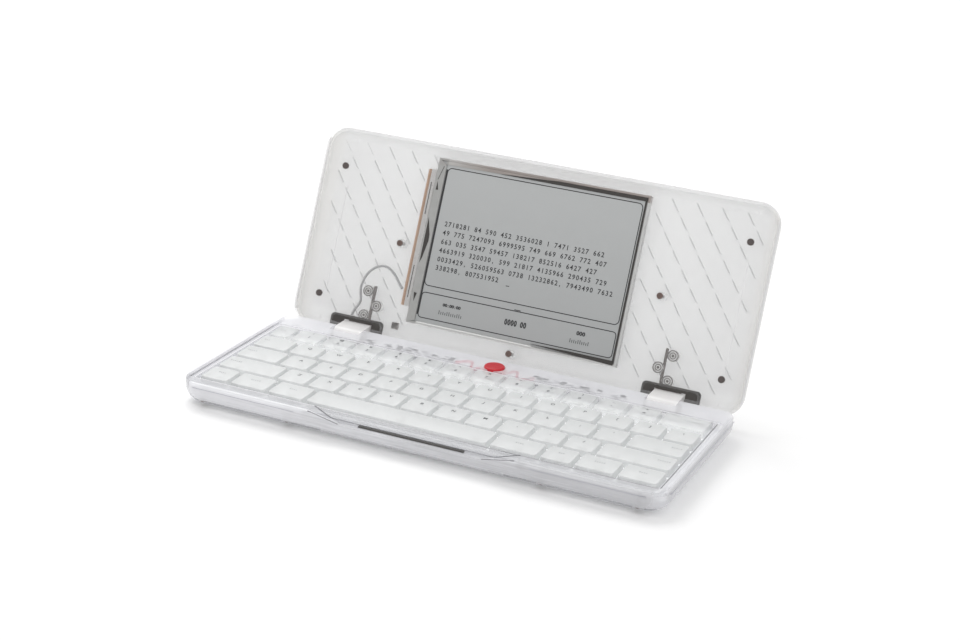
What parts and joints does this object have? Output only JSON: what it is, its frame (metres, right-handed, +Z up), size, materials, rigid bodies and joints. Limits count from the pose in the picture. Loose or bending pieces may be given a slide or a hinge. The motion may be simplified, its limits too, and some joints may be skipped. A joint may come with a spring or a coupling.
{
  "type": "electronic word processor",
  "caption": "Clear clamshell writing machine: e-paper screen in a hinged lid over a compact full-travel keyboard, with a round power button.",
  "frame": {"origin": "on the table plane, at the middle of the base's width and depth, between the four feet", "axes": "+X to the typist's right, +Y to the rear where the hinge is, +Z up"},
  "size_m": [0.286, 0.1804, 0.1221],
  "materials": {
    "clear_lid": "clear, faintly smoky, polished",
    "clear_base": "clear, faintly smoky, polished",
    "key_caps": "milky translucent, satin",
    "hinge_plastic": "milky, satin",
    "button_red": "satin",
    "spring_pink": "translucent, satin",
    "dark_steel": "dark plated",
    "screws": "dark plated",
    "plate_steel": "pale matt coating",
    "sheet": "milky, matt",
    "guides": "milky",
    "board": "white solder mask",
    "chips": "moulded",
    "cell": "foil",
    "socket": "bright",
    "magnets": "nickel plated",
    "rubber_dots": "matt",
    "liner": "matt black",
    "silver_frame": "satin",
    "paper_screen": "matt electronic paper",
    "lead": "grey insulation"
  },
  "bodies": {
    "base": {"base_screws": "screws", "battery": "cell", "board_chips": "chips", "bottom_cover": "clear_base", "button_springs": "spring_pink", "catch_magnets": "magnets", "catch_strip": "dark_steel", "dome_sheet": "sheet", "hinge_base_bracket_left": "dark_steel", "hinge_base_bracket_right": "dark_steel", "hinge_pins": "dark_steel", "key_guides": "guides", "keyboard_plate": "plate_steel", "main_board": "board", "power_switch": "chips", "rubber_feet": "rubber_dots", "top_deck": "clear_base", "usb_board": "board", "usb_c_socket": "socket"},
    "lid": {"lid_back_cover": "clear_lid", "lid_bezel": "clear_lid", "display_frame": "silver_frame", "eink_panel": "paper_screen", "display_tray": "silver_frame", "driver_board": "board", "hinge_arm_left": "hinge_plastic", "hinge_arm_right": "hinge_plastic", "hinge_lid_bracket_left": "dark_steel", "hinge_lid_bracket_right": "dark_steel", "bracket_screws": "screws", "hinge_slot_liners": "liner", "lid_bumpers": "rubber_dots", "lid_screws": "screws", "lid_magnet": "magnets", "display_lead": "lead"},
    "power_button": {"power_button": "button_red"},
    "key_bottom_1": {"key_bottom_1": "key_caps"},
    "key_bottom_2": {"key_bottom_2": "key_caps"},
    "key_bottom_3": {"key_bottom_3": "key_caps"},
    "space_bar": {"space_bar": "key_caps"},
    "key_bottom_5": {"key_bottom_5": "key_caps"},
    "key_bottom_6": {"key_bottom_6": "key_caps"},
    "key_bottom_7": {"key_bottom_7": "key_caps"},
    "key_bottom_8": {"key_bottom_8": "key_caps"},
    "key_shift_left": {"key_shift_left": "key_caps"},
    "key_shift_right": {"key_shift_right": "key_caps"},
    "key_caps": {"key_caps": "key_caps"},
    "key_enter": {"key_enter": "key_caps"},
    "key_tab": {"key_tab": "key_caps"},
    "key_escape": {"key_escape": "key_caps"},
    "key_backspace": {"key_backspace": "key_caps"},
    "keys_lower_row": {"keys_lower_row": "key_caps"},
    "keys_home_row": {"keys_home_row": "key_caps"},
    "keys_upper_row": {"keys_upper_row": "key_caps"},
    "keys_digit_row": {"keys_digit_row": "key_caps"}
  },
  "joints": [
    {"name": "lid_hinge", "type": "hinge", "parent": "base", "child": "lid", "pos_m": [0, 0.0593, 0.0095], "axis": [-1, 0, 0], "range_deg": [-111.4, 8.6]},
    {"name": "power_press", "type": "slide", "parent": "base", "child": "power_button", "axis": [0, 0, -1], "range_m": [0, 0.0005], "stiffness_N_per_m": 1200, "springref_m": -0.0003},
    {"name": "key_bottom_1_press", "type": "slide", "parent": "base", "child": "key_bottom_1", "axis": [0, 0, -1], "range_m": [0, 0.002], "stiffness_N_per_m": 250, "springref_m": -0.0006},
    {"name": "key_bottom_2_press", "type": "slide", "parent": "base", "child": "key_bottom_2", "axis": [0, 0, -1], "range_m": [0, 0.002], "stiffness_N_per_m": 250, "springref_m": -0.0006},
    {"name": "key_bottom_3_press", "type": "slide", "parent": "base", "child": "key_bottom_3", "axis": [0, 0, -1], "range_m": [0, 0.002], "stiffness_N_per_m": 250, "springref_m": -0.0006},
    {"name": "space_bar_press", "type": "slide", "parent": "base", "child": "space_bar", "axis": [0, 0, -1], "range_m": [0, 0.002], "stiffness_N_per_m": 250, "springref_m": -0.0006},
    {"name": "key_bottom_5_press", "type": "slide", "parent": "base", "child": "key_bottom_5", "axis": [0, 0, -1], "range_m": [0, 0.002], "stiffness_N_per_m": 250, "springref_m": -0.0006},
    {"name": "key_bottom_6_press", "type": "slide", "parent": "base", "child": "key_bottom_6", "axis": [0, 0, -1], "range_m": [0, 0.002], "stiffness_N_per_m": 250, "springref_m": -0.0006},
    {"name": "key_bottom_7_press", "type": "slide", "parent": "base", "child": "key_bottom_7", "axis": [0, 0, -1], "range_m": [0, 0.002], "stiffness_N_per_m": 250, "springref_m": -0.0006},
    {"name": "key_bottom_8_press", "type": "slide", "parent": "base", "child": "key_bottom_8", "axis": [0, 0, -1], "range_m": [0, 0.002], "stiffness_N_per_m": 250, "springref_m": -0.0006},
    {"name": "key_shift_left_press", "type": "slide", "parent": "base", "child": "key_shift_left", "axis": [0, 0, -1], "range_m": [0, 0.002], "stiffness_N_per_m": 250, "springref_m": -0.0006},
    {"name": "key_shift_right_press", "type": "slide", "parent": "base", "child": "key_shift_right", "axis": [0, 0, -1], "range_m": [0, 0.002], "stiffness_N_per_m": 250, "springref_m": -0.0006},
    {"name": "key_caps_press", "type": "slide", "parent": "base", "child": "key_caps", "axis": [0, 0, -1], "range_m": [0, 0.002], "stiffness_N_per_m": 250, "springref_m": -0.0006},
    {"name": "key_enter_press", "type": "slide", "parent": "base", "child": "key_enter", "axis": [0, 0, -1], "range_m": [0, 0.002], "stiffness_N_per_m": 250, "springref_m": -0.0006},
    {"name": "key_tab_press", "type": "slide", "parent": "base", "child": "key_tab", "axis": [0, 0, -1], "range_m": [0, 0.002], "stiffness_N_per_m": 250, "springref_m": -0.0006},
    {"name": "key_escape_press", "type": "slide", "parent": "base", "child": "key_escape", "axis": [0, 0, -1], "range_m": [0, 0.002], "stiffness_N_per_m": 250, "springref_m": -0.0006},
    {"name": "key_backspace_press", "type": "slide", "parent": "base", "child": "key_backspace", "axis": [0, 0, -1], "range_m": [0, 0.002], "stiffness_N_per_m": 250, "springref_m": -0.0006},
    {"name": "keys_lower_row_press", "type": "slide", "parent": "base", "child": "keys_lower_row", "axis": [0, 0, -1], "range_m": [0, 0.002], "stiffness_N_per_m": 2500, "springref_m": -0.0006},
    {"name": "keys_home_row_press", "type": "slide", "parent": "base", "child": "keys_home_row", "axis": [0, 0, -1], "range_m": [0, 0.002], "stiffness_N_per_m": 2500, "springref_m": -0.0006},
    {"name": "keys_upper_row_press", "type": "slide", "parent": "base", "child": "keys_upper_row", "axis": [0, 0, -1], "range_m": [0, 0.002], "stiffness_N_per_m": 2500, "springref_m": -0.0006},
    {"name": "keys_digit_row_press", "type": "slide", "parent": "base", "child": "keys_digit_row", "axis": [0, 0, -1], "range_m": [0, 0.002], "stiffness_N_per_m": 2500, "springref_m": -0.0006}
  ]
}
